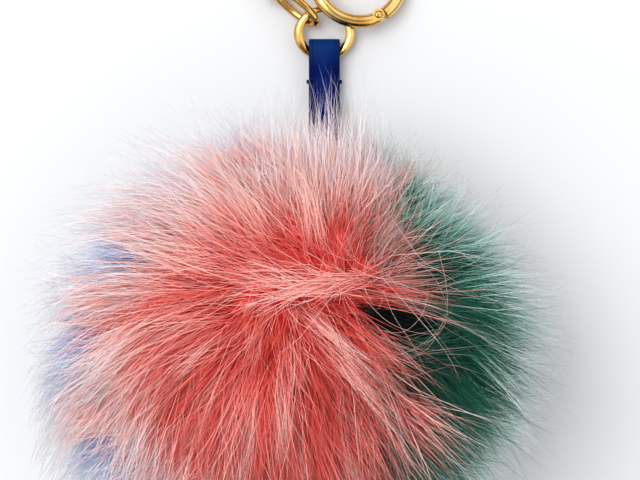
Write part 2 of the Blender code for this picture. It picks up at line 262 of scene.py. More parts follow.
streaks = (
    # deep valleys, darkened as painted shade, and pale tresses of paler hair: middle, half length,
    # half width (mm), way (degrees), change
    ((-4, 26.5), 6.5, 2.2, 140, -0.5),
    ((-8, 14.5), 9, 1.6, 183, -0.6),
    ((5, 12.5), 6, 1.5, 165, -0.45),
    ((-23.5, 5), 7, 2.4, 212, -0.7),
    ((-14, 7.5), 7, 1.8, 205, -0.6),
    ((-5.5, 3), 10, 2, 258, -0.5),
    ((-12, -6), 9, 1.5, 245, -0.5),
    ((8, -16.5), 10, 2.6, 290, -0.7),
    ((16.5, -27), 8, 2.2, 296, -0.6),
    ((4.5, -31), 10, 1.6, 282, -0.5),
    ((-9, -22), 12, 1.8, 262, -0.5),
    ((-33, 13), 10, 1.6, 190, -0.4),
    ((-27, -18), 11, 1.8, 232, -0.45),
    ((-19, 33), 10, 1.8, 130, -0.25),
    ((-24, -14.5), 10, 1.2, 244, 0.55),
    ((9, 3), 13, 1.3, 318, 0.5),
    ((14.5, -7.5), 14, 1.5, 312, 0.5),
    ((-15, -30), 12, 1.1, 254, 0.5),
    ((-4, -14), 11, 1, 268, 0.45),
    ((1, -28), 12, 1.3, 274, 0.45),
    ((11, -25), 11, 1.1, 289, 0.45),
    ((-38, 3), 12, 1.6, 197, 0.4),
    ((-30, -4), 12, 1.2, 216, 0.4),
    ((-16, 40), 12, 1.8, 122, 0.30),
    ((3, 38), 12, 2, 100, 0.30),
    ((-35, 26), 12, 1.8, 158, 0.28),
)

chance = np.random.default_rng(ball["seed"])


def unit(rows):
    return rows / np.maximum(np.linalg.norm(rows, axis=-1, keepdims=True), 1e-9)


def smoothStep(low, high, value):
    share = np.clip((value - low) / (high - low), 0, 1)
    return share * share * (3 - 2 * share)


def traitsOf(kind):
    return {key: row[furKinds.index(kind)] for key, row in furTraits.items()}


def spreadDirections(count):
    # Directions in a spiral from pole to pole, a little shaken
    index = np.arange(count) + 0.5
    height = 1 - 2 * index / count
    across = np.sqrt(1 - height * height)
    angle = index * math.pi * (3 - math.sqrt(5))
    rows = np.stack([across * np.cos(angle), across * np.sin(angle), height], 1)
    return unit(rows + chance.normal(0, ball["shaken"] / math.sqrt(count), rows.shape))


def coralEdge(along):
    # How far the seam of coral and green wanders, in degrees
    return sum(turn * smoothStep(low, high, along) for turn, low, high in seams["coralEdge"])


def panelMask(directions, name):
    # The panel's share of the ball, with wavy seams where the panels' fur mingles
    along = directions[:, 1]
    swing, pace = seams["wave"]
    angle = np.degrees(np.arctan2(directions[:, 0], directions[:, 2]))
    angle = angle + swing * np.sin(along * pace)
    rise = sum(height * np.exp(-(((along - at) / half) ** 2)) for at, half, height in blueTufts)
    panel = panels[name]
    edge = coralEdge(along)
    start = panel["from"] + {"coral": rise, "green": edge, "blue": 0}[name]
    end = panel["to"] + {"coral": edge, "green": 0, "blue": rise}[name]
    return (angle - start) % 360 < end - start


def combed(directions):
    # Which way the fur lies at each place, and how far it is combed over
    at, half = comb["parting"]
    low = smoothStep(at + half, at - half, directions[:, 1])[:, None]
    source = unit(np.array(comb["upperSource"]) * (1 - low) + np.array(comb["lowerSource"]) * low)
    away = directions * np.sum(directions * source, axis=1, keepdims=True) - source
    fromSource = smoothStep(0, comb["full"], np.linalg.norm(away, axis=1))
    amount = comb["least"] + (1 - comb["least"]) * fromSource
    amount = amount * (1 - comb["hangs"] * smoothStep(*comb["hanging"], directions[:, 2]))
    return unit(away), amount


def bulgeLeft(points):
    # Stands the left side out of round, and draws in the longest tips at both sides
    x, y, z = points[..., 0], points[..., 1], points[..., 2]
    amount = smoothStep(*bulge["rises"], x) * (1 - bulge["tips"] * smoothStep(*bulge["falls"], x))
    amount = amount * (bulge["least"] + (1 - bulge["least"]) * smoothStep(*bulge["along"], y))
    moved = x - bulge["most"] * (amount * smoothStep(*bulge["above"], z))
    beyond = np.maximum(abs(moved) - bulge["sideEnd"], 0)
    points[..., 0] = moved - bulge["drawnIn"] * beyond * np.sign(moved)
    return points


def keepOffFloor(points, outward, lift):
    low = ball["floor"] + lift
    under = np.maximum(low - points[..., 2], 0)
    points[..., 2] = np.maximum(points[..., 2], low)
    points[..., :2] += outward * under[..., None] * ball["splay"]
    return points


def farFrom(places, parting):
    # Distance from the middle of a parting or a streak, which is 1 at its rim
    (x, y), long, wide, degrees, change = parting
    turn = math.radians(degrees)
    offset = places[..., :2] - np.array([x, y]) * mm
    along = (offset[..., 0] * math.cos(turn) + offset[..., 1] * math.sin(turn)) / (long * mm)
    across = (offset[..., 1] * math.cos(turn) - offset[..., 0] * math.sin(turn)) / (wide * mm)
    return np.hypot(along, across)


def partFur(points):
    # Pushes strands aside, out of the dark gap
    far = farFrom(points, partings[0])
    ragged = chance.uniform(*rims["pushed"], len(points))[:, None]
    pushed = np.sqrt(far**2 + ragged) / np.maximum(far, rims["nearest"]) - 1
    fade = smoothStep(*rims["fade"], far) * (points[..., 2] > rims["upper"])
    offset = points[..., :2] - np.array(partings[0][0]) * mm
    points[..., :2] += offset * (pushed * fade)[..., None]
    return points


def crossesParting(points, name):
    # Strands that would lie over a parting. Blue ones stay, so that they show there.
    crossing = np.zeros(len(points), bool)
    for parting in partings[: 1 if name == "blue" else None]:
        over = np.zeros(len(points), bool)
        ragged = chance.normal(*rims["stops"], len(points))
        for share in np.linspace(0, 1, rims["looks"]):
            for step in range(points.shape[1] - 1):
                place = points[:, step] * (1 - share) + points[:, step + 1] * share
                over |= (farFrom(place, parting) < ragged) & (place[:, 2] > rims["stopAbove"])
        crossing |= over & (chance.uniform(0, 1, len(points)) < parting[-1])
    return crossing


strapRoom = {
    # the room that fur leaves round the strap
    "above": 0.4 * mm,
    "beside": 0.3 * mm,
    "steps": 24,  # places along the strap where its height is measured
    "corners": 12,  # of its mesh, nearest to each
}


def strapLevels():
    # Lowest and highest point of the strap in steps along it
    node = frame["nodes"]["strap"].data
    rows = np.array([vertex.co for vertex in node.vertices])
    steps = np.linspace(rows[:, 1].min(), rows[:, 1].max(), strapRoom["steps"])
    nearest = [np.argsort(abs(rows[:, 1] - step))[: strapRoom["corners"]] for step in steps]
    low = np.array([rows[near, 2].min() for near in nearest])
    high = np.array([rows[near, 2].max() for near in nearest])
    return steps, low, high, rows[:, 0].min(), rows[:, 0].max()


def keepOffStrap(points, fromAbove):
    steps, low, high, left, right = strapLevels()
    above, beside = strapRoom["above"], strapRoom["beside"]
    bottom = np.interp(points[..., 1], steps, low) - above
    top = np.interp(points[..., 1], steps, high) + above
    inside = (points[..., 0] > left - beside) & (points[..., 0] < right + beside)
    inside &= (points[..., 1] > steps[0]) & (points[..., 1] < steps[-1])
    inside &= (points[..., 2] > bottom) & (points[..., 2] < top)
    over = np.where(fromAbove[:, None], top, bottom)
    points[..., 2] = np.where(inside, over, points[..., 2])
    return points


lockLook = {
    # how far the clusters differ, and the locks in them
    "clusterRise": 0.06,
    "clusterTurn": 0.25,
    "clusterPale": 0.12,
    "clusterTuft": 1.2,  # the higher, the more alike the tufts
    "pull": (0.1, 0.5),  # to the cluster's middle
    "rise": 0.08,
    "turn": 0.16,
    "pale": 0.12,
    "clump": (0.35, 0.95),  # how closely a lock's strands meet at their tips
    "tuft": 0.7,
}


def lockShapes(directions):
    # How each lock grows: its flow, and how it leans with its neighbours
    clusters = spreadDirections(ball["clusters"])
    nearest = np.argmax(directions @ clusters.T, axis=1)
    centre = clusters[nearest]
    pull = centre - directions * np.sum(centre * directions, axis=1, keepdims=True)
    flow, amount = combed(directions)
    look = lockLook
    count = len(directions)
    clusterRise = chance.normal(1, look["clusterRise"], len(clusters))[nearest]
    clusterTurn = chance.normal(0, look["clusterTurn"], len(clusters))[nearest]
    clusterPale = chance.normal(0, look["clusterPale"], len(clusters))[nearest]
    clusterTuft = chance.gamma(look["clusterTuft"], 1 / look["clusterTuft"], len(clusters))[nearest]
    pulled = chance.uniform(*look["pull"], len(clusters))[nearest][:, None]
    return {
        "out": directions,
        "flow": flow,
        "amount": amount,
        "side": np.cross(directions, flow),
        "pull": pull * ball["hide"] * pulled,
        "rise": clusterRise * chance.normal(1, look["rise"], count),
        "turn": clusterTurn + chance.normal(0, look["turn"], count),
        "pale": clusterPale + chance.normal(0, look["pale"], count),
        "clump": chance.uniform(*look["clump"], count),
        "tuft": chance.gamma(look["tuft"], 1 / look["tuft"], count) * clusterTuft,
    }


growth = {
    # heights and places are shares of the ball's radius
    "thins": (-0.45, -0.8),  # from this height down to this one
    "thinned": 0.45,  # this share of strands is missing
    "crown": (0.1, 0.75),  # higher up, strands rise less and lie further over
    "crownRise": 0.28,
    "crownLay": 0.25,
    "rise": (0.8, 1.15),  # least and most that a lock's rise changes its length
    "nearStrap": (0.15, 0.8),  # along Y
    "strap": (6 * mm, 11 * mm),  # along X, and how wide its hollow is
    "strapHollow": 0.50,  # strands are shorter there by this share
    "leftSide": (-0.4, -0.9),  # from here to here along X
    "leftReach": 0.06,  # strands reach further by this share
    "spread": 0.52,  # of a lock's roots, as a share of the locks' spacing
    "lift": 2.5,  # how far tips on the surface differ in height, in mm
    "underStrap": -0.30,  # strands from below this height pass under the strap
}

reachRules = (
    # where else their reach changes: panels, kinds, by which share, and along which axes, from
    # where to where
    ("coral green blue", "soft guard long", -0.25, ((1, 0.42, 0.7), (0, 0.15, 0.45))),
    ("coral blue", "soft", -0.45, ((0, -0.35, -0.75), (2, 0.75, 0.35))),
    ("coral blue", "guard long", 0.06, ((0, -0.35, -0.75), (2, 0.75, 0.35))),
    ("green", "soft", -0.3, ((2, 0.6, 0.2),)),
)


def reachOf(out, kind, name, rise):
    # Length of each strand, as a share of its kind's
    look = traitsOf(kind)
    reach = chance.uniform(*look["lengths"], len(out)) * np.clip(rise, *growth["rise"])
    nearStrap = smoothStep(*growth["nearStrap"], out[:, 1])
    reach = reach * (1 - (1 - look["topReach"]) * nearStrap)
    reach = reach * (1 + growth["leftReach"] * smoothStep(*growth["leftSide"], out[:, 0]))
    strapX, hollow = growth["strap"]
    fromStrap = (out[:, 0] * ball["hide"] - strapX) / hollow
    reach = reach * (1 - growth["strapHollow"] * nearStrap * np.exp(-(fromStrap**2)))
    for names, kinds, change, axes in reachRules:
        if name in names and kind in kinds:
            share = 1
            for axis, low, high in axes:
                share = share * smoothStep(low, high, out[:, axis])
            reach = reach * (1 + change * share)
    return reach


def growFur(shapes, kind, name):
    # Centre lines of strands, and the lock that each belongs to
    look = traitsOf(kind)
    locks = len(shapes["out"])
    weights = (1 - look["tufted"]) * shapes["tuft"].mean() + look["tufted"] * shapes["tuft"]
    lock = chance.choice(locks, int(locks * look["perLock"]), p=weights / weights.sum())
    bare = smoothStep(*growth["thins"], shapes["out"][lock, 2]) * growth["thinned"]
    lock = lock[chance.uniform(0, 1, len(lock)) > bare]
    total = len(lock)
    shape = {key: value[lock] for key, value in shapes.items()}
    out = shape["out"]
    crown = smoothStep(*growth["crown"], out[:, 2])

    turn = shape["turn"] + chance.normal(0, look["turn"], total)
    lean = shape["flow"] * np.cos(turn)[:, None] + shape["side"] * np.sin(turn)[:, None]
    reach = reachOf(out, kind, name, shape["rise"])
    rise = look["rise"] * reach * (1 - growth["crownRise"] * crown)
    lay = look["lay"] * reach * shape["amount"] * (1 + growth["crownLay"] * crown)

    spacing = math.sqrt(4 * math.pi / ball["locks"]) * ball["hide"]
    offset = chance.normal(0, spacing * growth["spread"], (total, 2))
    rootOffset = shape["flow"] * offset[:, :1] + shape["side"] * offset[:, 1:]
    fan = chance.normal(0, look["fan"], (total, 3))

    # Strands rise at first, and lie over and draw together towards their tips
    stations = np.array(look["stations"])
    t = stations[None, :, None]
    hold = 1 - shape["clump"][:, None, None] * t**1.3
    height = ball["hide"] + rise[:, None, None] * t**0.85
    points = np.array(ball["middle"]) + out[:, None] * height
    points = points + lean[:, None] * lay[:, None, None] * t**1.5
    points = points + rootOffset[:, None] * hold + fan[:, None] * t**2
    points = points + shape["pull"][:, None] * t**1.5
    bend = chance.normal(0, look["bend"], (total, 1, 1)) * 4 * t * (1 - t)
    points = points + shape["side"][:, None] * bend
    outward = unit(out[:, :2] + 1e-6)[:, None]
    lift = chance.uniform(0, growth["lift"], total)[:, None] * mm * stations
    points = keepOffFloor(points, outward, lift)
    kept = ~crossesParting(points, name)
    points = partFur(points[kept])
    points = keepOffStrap(points, out[kept, 2] > growth["underStrap"])
    return bulgeLeft(points), lock[kept]


strand = {
    "widths": (0.75, 1.25),  # how far strands differ in thickness
    "height": 0.008,  # of one strand on its UV map, along V
    "inset": 0.004,  # from the map's sides, along U
    "cap": 0.02,  # length of the root's own face there
}


def strandMesh(name, points, widths, taper, bands, material, colourFrom=0.0):
    # One closed three-sided strand for each row of points. Its colours start at colourFrom, a
    # share of the way from root to tip.
    total, stations, _ = points.shape
    along = unit(np.gradient(points, axis=1))
    guide = unit(np.cross(points[:, -1] - points[:, 0], chance.normal(0, 1, (total, 3))))
    side = unit(np.cross(along, guide[:, None]))
    rise = np.cross(along, side)
    share = np.linspace(0, 1, stations)  # how far along its colours each station is
    thickness = (1 - share[:-1]) ** taper
    corners = []
    for corner in range(3):
        angle = 2 * math.pi * corner / 3
        arm = side[:, :-1] * math.cos(angle) + rise[:, :-1] * math.sin(angle)
        corners.append(points[:, :-1] + arm * (widths[:, None] * thickness)[..., None])
    rings = np.stack(corners, 2).reshape(total, -1, 3)
    vertices = np.concatenate([rings, points[:, -1:]], 1)
    perStrand = vertices.shape[1]

    faces = []
    places = []  # of each corner: share of the strand's length, and side of its band
    for step in range(stations - 2):
        low, high = step * 3, step * 3 + 3
        start, end = share[step], share[step + 1]
        for corner, after in ((0, 1), (1, 2), (2, 0)):
            faces += [(low + corner, low + after, high + after)]
            faces += [(low + corner, high + after, high + corner)]
            places += [((start, 0), (start, 1), (end, 1)), ((start, 0), (end, 1), (end, 0))]
    low = (stations - 2) * 3
    for corner, after in ((0, 1), (1, 2), (2, 0)):
        faces += [(low + corner, low + after, perStrand - 1)]
        places += [((share[-2], 0), (share[-2], 1), (1, 0.5))]
    faces += [(0, 2, 1)]
    places += [((0, 0), (strand["cap"], 1), (strand["cap"], 0))]

    faces = np.array(faces)
    places = np.array(places, float)
    allFaces = (np.arange(total)[:, None, None] * perStrand + faces).reshape(-1, 3)
    inset = strand["inset"]
    uv = np.empty((total, *places.shape))
    uv[..., 0] = inset + (1 - 2 * inset) * (colourFrom + (1 - colourFrom) * places[None, ..., 0])
    uv[..., 1] = bands[:, None, None] + strand["height"] * places[None, ..., 1]

    mesh = bpy.data.meshes.new(name)
    mesh.from_pydata(vertices.reshape(-1, 3), [], allFaces, shade_flat=False)
    layer = mesh.uv_layers.new(name="OFBake")
    layer.data.foreach_set("uv", uv.astype(np.float32).ravel())
    mesh.materials.append(material)
    piece = bpy.data.objects.new(name, mesh)
    bpy.context.scene.collection.objects.link(piece)
    print("fur piece", name, len(allFaces), "triangles")
    return piece


strandLooks = (
    # from which band to which a look comes in, and its colours from root to tip: deep, plain,
    # pale, wispy, smoky, mingled and dusky strands
    (0.0, 0.0, ((0.0, "root"), (0.65, "deep"), (1.0, "dull"))),
    (0.0, 0.35, ((0.0, "root"), (0.35, "deep"), (0.65, "middle"), (1.0, "light"))),
    (0.45, 0.85, ((0.0, "deep"), (0.25, "middle"), (0.5, "light"), (0.78, "tip"))),
    (0.026, 0.022, ((0.0, "deep"), (0.24, "middle"), (0.44, "light"), (0.7, "wisp"))),
    (0.892, 0.896, ((0.0, "dusk"), (0.5, "mingled"), (1.0, "tip"))),
    (0.925, 0.93, ((0.15, "shade"), (0.55, "mingled"), (1.0, "tip"))),
    (0.965, 0.97, ((0.0, "shade"), (1.0, "dusk"))),
)

bandPlaces = {
    "limits": (0.04, 0.88),  # of strands between deep and pale
    "wispy": 0.005,
    "pale": 0.86,
    "smoky": 0.905,
    "mingled": 0.945,
    "dusky": 0.985,
}


def furPaint(name, tones):
    # Colour runs from root to tip along U and from deep to pale strands along V
    paint = Paint(name, tones["middle"], 0.55)
    place = paint.node("UVMap", {"uv_map": "OFBake"}, {})
    along, band = paint.axis(place, 0), paint.axis(place, 1)
    colour = None
    for start, end, stops in strandLooks:
        look = paint.ramp(along, *((at, tones[tone]) for at, tone in stops))
        colour = paint.mix(paint.fade(band, start, end), colour, look) if colour else look
    paint.set("Base Color", colour)
    paint.set("Specular IOR Level", 0.3)
    return paint.material


furTones = {
    # of the coral, green and blue fur, as the eye sees them, 0 to 255
    # root: the fur's deep colour near its roots, darkened further as painted shade deep in the fur
    "root": ((196, 26, 22), (0, 30, 24), (52, 60, 140)),
    "deep": ((230, 76, 68), (0, 78, 60), (98, 110, 188)),
    "dull": ((240, 104, 96), (0, 104, 82), (130, 140, 206)),
    "middle": ((252, 146, 140), (0, 128, 102), (150, 162, 218)),
    "light": ((255, 188, 179), (140, 196, 182), (204, 212, 240)),
    "tip": ((255, 226, 215), (244, 249, 247), (244, 247, 253)),
    "wisp": ((252, 240, 245), (240, 250, 250), (240, 246, 255)),
    "mingled": ((206, 152, 144), (176, 148, 138), (120, 120, 170)),
    "shade": ((60, 26, 24), (4, 16, 14), (30, 30, 80)),
    "dusk": ((124, 70, 64), (52, 78, 72), (60, 60, 120)),
}


def tonesOf(name):
    # The panel's colours as the shader wants them
    at = list(panels).index(name)
    return {tone: tuple((part / 255) ** 2.2 for part in row[at]) for tone, row in furTones.items()}


hideLook = {
    "over": 1.2 * mm,  # the dense underfur's thickness
    "apart": 0.15,  # from the seam's middle, in mm
    "low": 0.1 * mm,  # the lowest that it reaches
    "grain": 700,  # scale of its noise
    "dark": (0.002, 0.003, 0.003, 1),  # painted shade: near black in the gap
    "darkest": (9 * mm, 15 * mm),  # it fades from here to here
}


def buildHide(name, panel, tones):
    # The closed wedge of hide and dense underfur that a panel's strands grow from
    radius = ball["hide"] + hideLook["over"]
    bpy.ops.mesh.primitive_ico_sphere_add(subdivisions=5, radius=radius, location=ball["middle"])
    hide = bpy.context.active_object
    hide.name = name + "Hide"
    bpy.ops.object.transform_apply(location=True)
    for angle, turn in ((panel["from"], 1), (panel["to"], -1)):
        seam = math.radians(angle)
        normal = Vector((math.cos(seam), 0, -math.sin(seam))) * turn
        cut = ball["middle"] + normal * hideLook["apart"] * mm
        bpy.ops.object.mode_set(mode="EDIT")
        bpy.ops.mesh.select_all(action="SELECT")
        bpy.ops.mesh.bisect(plane_co=cut, plane_no=normal, use_fill=True, clear_inner=True)
        bpy.ops.object.mode_set(mode="OBJECT")
    for vertex in hide.data.vertices:
        vertex.co.z = max(vertex.co.z, hideLook["low"])
        vertex.co = bulgeLeft(np.array(vertex.co))
    bpy.ops.object.shade_smooth()
    paint = Paint(name + "Underfur", tones["root"], 0.9)
    place = paint.place()
    grain = paint.noise(place, hideLook["grain"], 3)
    colour = paint.ramp(grain, (0.3, tones["root"]), (0.8, tones["deep"]))
    # painted shade: the hide fades to near black towards the gap's middle
    toGap = paint.node("VectorMath", {"operation": "DISTANCE"}, {0: place, 1: gap}, 1)
    shade = paint.fade(toGap, *hideLook["darkest"])
    paint.set("Base Color", paint.mix(shade, hideLook["dark"], colour))
    hide.data.materials.append(paint.material)
    bpy.ops.object.select_all(action="DESELECT")
    return hide


shades = {
    # how much paler strands are: soft ones, and the others
    "tuft": (0.0, 0.14),  # by the size of their tuft
    # the rim is paler: partly the fur's pale tips, partly a painted sheen on them
    "greenRim": (0.54, 1.14),
    "rim": (0.16, 0.36),
    "nearStrap": (0.12, 0.26),
    "paleStreak": (0.4, 1),
    # and the share of them that is wispy, or dusky where panels mingle
    "wispy": (0.85, 1),
    "dusky": (0.85, 0.3),
    # painted shade: green strands by the gap take the dusky colours
    "duskyGap": (0.9, 0.6),
    # how much deeper they are, whatever their kind
    "green": 0.60,
    "low": 0.40,
    # painted shade: strands deepen around the whorl
    "whorl": 0.30,
    # painted shade: strands grow deeper towards the gap
    "gap": 0.4,
    "under": 0.65,  # share of the rim's paleness that is lost underneath, as painted shade
    "tufts": (-0.7, 1.5),  # limits
}

zones = {
    # where strands' looks change, from here to here: heights as shares of the ball's radius
    "rim": (0.6, 0.1),
    "greenRim": (0.62, 0.2),
    "under": (0.12, -0.3),
    # along Y
    "greenTop": (0.28, 0.6),
    "nearStrap": (0.5, 0.85),
    "low": (0.32, -0.1),
    "wispyTop": (0.55, 0.85),
    "wideSeam": (0.1, -0.2),
    "dusky": (0.1, -0.25),
    # of the smoky patch beside the gap, along X and Y
    "smokyLeft": (0.2, 0.36),
    "smokyLow": (0.02, 0.12),
    "smokyHigh": (0.75, 0.5),
    # from the whorl
    "whorl": (0.36, 0.15),
    "unmingled": (0.18, 0.4),
    # from the gap's middle
    "gap": (20 * mm, 8 * mm),
    "smokyGap": (17 * mm, 9 * mm),
    "duskyGap": (27 * mm, 13 * mm),
}

wispyRim = {
    # how far from the ball's middle strands turn wispy, in mm, and which share of them
    "coral": (40.5, 0.95),
    "green": (50, 0.85),
    "blue": (42, 0.65),
    "width": 11,  # over which it happens
    "topShare": 0.6,  # share of the coral and green ones towards the strap
    "under": 0.8,  # these shares are lower by this one underneath, as painted shade
}

mingling = {
    # coral and green strands by each other's seam
    "width": (12, 9),  # degrees, and how much more low in the picture
    "green": 0.62,  # of that width for the green ones
    "share": 0.7,  # of them that are mingled
    "pale": 0.4,  # and of the longer ones that stay pale
    "smoky": 0.85,  # share of the coral ones beside the gap that are smoky
}


def zone(name, places):
    return smoothStep(*zones[name], places)


def chosen(share):
    return chance.uniform(0, 1, len(share)) < share


def strandBands(kind, shapes, lock, name, middles):
    # Each strand's place between deep and pale
    look = traitsOf(kind)
    other = int(kind != "soft")
    total = len(lock)
    out = shapes["out"][lock]
    along, height = out[:, 1], out[:, 2]
    tuft = np.clip(shapes["tuft"][lock] - 1, *shades["tufts"]) * shades["tuft"][other]
    bands = look["paleness"] + shapes["pale"][lock] + chance.normal(0, look["varied"], total) + tuft
    root = np.array(ball["middle"]) + out * ball["hide"]
    toGap = np.linalg.norm(root - np.array(gap), axis=1)
    fromWhorl = np.linalg.norm(out - np.array(comb["upperSource"]), axis=1)
    under = zone("under", height)
    # painted light: the rim's paleness, partly pale tips and partly painted sheen, fades underneath
    # as painted shade
    lit = 1 - shades["under"] * under
    if name == "green":
        rim = zone("greenRim", height) * lit
        rim = np.maximum(rim, zone("greenTop", along) * lit)
        bands = bands - shades["green"] + shades["greenRim"][other] * rim
    else:
        rim = zone("rim", height) * lit
        bands = bands + shades["rim"][other] * rim
        bands = bands + shades["nearStrap"][other] * zone("nearStrap", along)
        bands = bands - shades["low"] * zone("low", along) * (1 - rim)
        # painted shade round the whorl
        bands = bands - shades["whorl"] * zone("whorl", fromWhorl)
    # painted shade: strands deepen towards the gap
    bands = bands - shades["gap"] * zone("gap", toGap)
    # painted shade: the deep valleys darken the strands in them; the pale tresses are paler hair
    for streak in streaks:
        change = streak[-1] * (shades["paleStreak"][other] if streak[-1] > 0 else 1)
        upper = middles[:, 2] > rims["upper"]
        bands = bands + change * np.exp(-(farFrom(middles, streak) ** 2)) * upper
    bands = np.clip(bands, *bandPlaces["limits"])

    start, share = wispyRim[name]
    fromMiddle = np.linalg.norm(middles[:, :2], axis=1)
    edge = smoothStep(start * mm, (start + wispyRim["width"]) * mm, fromMiddle) * share
    top = wispyRim["topShare"] * zone("wispyTop", along) * (name != "blue")
    edge = np.maximum(edge, top) * (1 - wispyRim["under"] * under)
    wispy = chosen(edge * shades["wispy"][other])
    bands = np.where(wispy, bandPlaces["wispy"], bands)
    if name == "coral":
        right = zone("smokyLeft", out[:, 0]) * zone("smokyLow", along)
        right = right * zone("smokyHigh", along)
        right = np.maximum(right, zone("smokyGap", toGap))
        smoky = chosen(right * mingling["smoky"])
        bands = np.where(smoky, bandPlaces["smoky"], bands)

    angle = np.degrees(np.arctan2(out[:, 0], height))
    fromSeam = abs(angle - panels["green"]["from"] - coralEdge(along))
    width, more = mingling["width"]
    width = width + more * zone("wideSeam", along)
    width = width * (mingling["green"] if name == "green" else 1)
    nearSeam = smoothStep(1, 0.15, fromSeam / width) * zone("unmingled", fromWhorl)
    mingle = chosen(nearSeam * mingling["share"] * (name != "blue"))
    dusky = zone("dusky", along) * shades["dusky"][other]
    # painted shade: green strands by the gap are dusky
    if name == "green":
        nearGap = zone("duskyGap", toGap) * shades["duskyGap"][other]
        dusky = np.maximum(dusky, nearGap)
    mixed = np.where(chosen(dusky), bandPlaces["dusky"], bandPlaces["mingled"])
    isPale = (chance.uniform(0, 1, total) < mingling["pale"]) & (kind != "soft")
    mixed = np.where(isPale, bandPlaces["pale" if name == "coral" else "mingled"], mixed)
    bands = np.where(mingle, mixed, bands)
    return np.round(bands * 100) / 100


ridge = {
    # loose hairs that lie along the line where the coral fur parts
    "count": 130,
    "from": Vector((20, 18.5, 103)) * mm,
    "to": Vector((3, 17, 104)) * mm,
    "shake": 0.9 * mm,
    "length": (7 * mm, 30 * mm),
    "arch": 2.0 * mm,
    "way": (184, 9),  # mean direction and spread, in degrees
    "slope": (-0.12, 0.06),
    "bend": 0.16,  # and wave: as shares of the length
    "wave": 0.05,
    "radius": 0.085 * mm,
}

fuzz = {
    # short crossing hairs where the whorl stands up, in mm
    "count": 90,
    "middle": (11.5, 18.5, 103),
    "shake": (5.5, 2.6, 1.0),
    "length": (4 * mm, 11 * mm),
    "slope": (-0.1, 0.35),
    "rise": (0.1, 0.2),
    "curl": 0.6,  # as a share of the length
    "radius": 0.07 * mm,
}

strapWisps = {
    # pale hairs of the ball that lie over the strap's lower end
    "count": 640,
    "spread": 6.5 * mm,  # of their roots, across the strap
    "root": (33 * mm, 44 * mm),  # along Y
    "reach": (11 * mm, 40 * mm),  # beyond the roots
    "reaches": (1.6, 2.6),  # the first lower than the second: more short ones than long
    "aside": (0.15, 3.2 * mm),  # how far tips spread
    "lift": (1 * mm, 11 * mm),  # of their tips over the strap
    "fall": 23 * mm,  # the most that a tip is under its root
    "arch": 3,  # in mm
    "bend": 1.4 * mm,
    "wispy": 0.7,  # share of them that is palest
    "radius": 0.068 * mm,
}

gapFur = {
    "count": 900,
    "spread": 0.9,  # as a share of the gap
    "way": (0.75, -0.35, 0),
    "shake": 0.3,
    "length": (4 * mm, 8 * mm),
    "radius": 0.13 * mm,
    # near-black root and tip colours: painted shade at the bottom of the gap
    "root": (0.0008, 0.0014, 0.0012),
    "tip": (0.016, 0.022, 0.019),
}

tresses = {
    "count": 64,  # hairs on each pale streak
    "spread": 5,  # degrees
    "lengths": (0.55, 1.25),  # as a share of the streak's length
    "starts": (0.5, 1.1),  # before the streak's middle, as a share of its half length
    "beside": 0.7,  # spread, as a share of its half width
    "curl": 0.06,  # and wave: as shares of a hair's length
    "wave": 0.03,
    "radius": 0.085 * mm,
}

looseHairs = (
    # long hairs over the gap: four points each, X Y Z in mm
    ((19, 28, 102), (33, 21, 101), (38, 9, 98), (31, 0, 99)),
    ((38, 10, 99), (33, 1, 100), (26, -2, 101), (18, -1, 103)),
    ((36, 26, 97), (38, 16, 98), (37, 6, 98), (29, 0, 99)),
    ((22, 20, 104), (30, 11, 101), (40, -2, 96), (48, -12, 88)),
    ((21, 19, 104), (29, 10, 101), (38, -1, 97), (44, -14, 90)),
    ((14, 5, 106), (22, -1, 104), (33, 3, 100), (41, 13, 96)),
    ((12, 21, 105), (24, 18, 104), (32, 15, 101), (46, 11, 93)),
    ((24, 34, 98), (31, 24, 99), (37, 20, 97), (50, 12, 88)),
    ((16, 14, 104), (22, 8, 103), (29, 5, 101), (38, 4, 97)),
    ((21, 16, 104), (24, 9, 103), (28, 3, 102), (33, -6, 99)),
    ((33, 15, 99), (31, 9, 100), (26, 5, 101), (19, 6, 103)),
)


def onBall(places, radius, least=0):
    # Height of places on a sphere about the ball's middle
    rest = radius**2 - np.sum(places[..., :2] ** 2, axis=-1)
    return ball["middle"].z + np.sqrt(np.maximum(rest, least))


def layOnFur(points, lift):
    # Sets loose hairs down on the fur, whose surface is a little lower than its longest tips
    points[..., 2] = onBall(points, ball["hide"] + 7 * mm) + lift
    return points


def ridgePoints():
    # Centre lines of the loose hairs along the ridge and over the gap
    t = np.linspace(0, 1, 7)[None, :, None]
    count = ridge["count"]
    first, last = np.array(ridge["from"]), np.array(ridge["to"])
    start = first + (last - first) * chance.uniform(0, 1, (count, 1))
    start = start + chance.normal(0, ridge["shake"], (count, 3))
    way = np.radians(chance.normal(*ridge["way"], count))
    heading = np.stack([np.cos(way), np.sin(way), chance.normal(*ridge["slope"], count)], 1)
    length = chance.uniform(*ridge["length"], count)[:, None, None]
    bend = chance.normal(0, ridge["bend"], (count, 1, 1)) * np.array([0, 1, 0]) * length
    wave = chance.normal(0, ridge["wave"], (count, 1, 1)) * np.array([0, 1, 0.5]) * length
    points = start[:, None] + heading[:, None] * length * t + bend * t**2
    points = points + wave * np.sin(t * 2 * math.pi)
    arch = ridge["arch"] * (4 * t * (1 - t))[..., 0]
    return layOnFur(points, arch + chance.normal(-1, 1, (count, 1)) * mm)


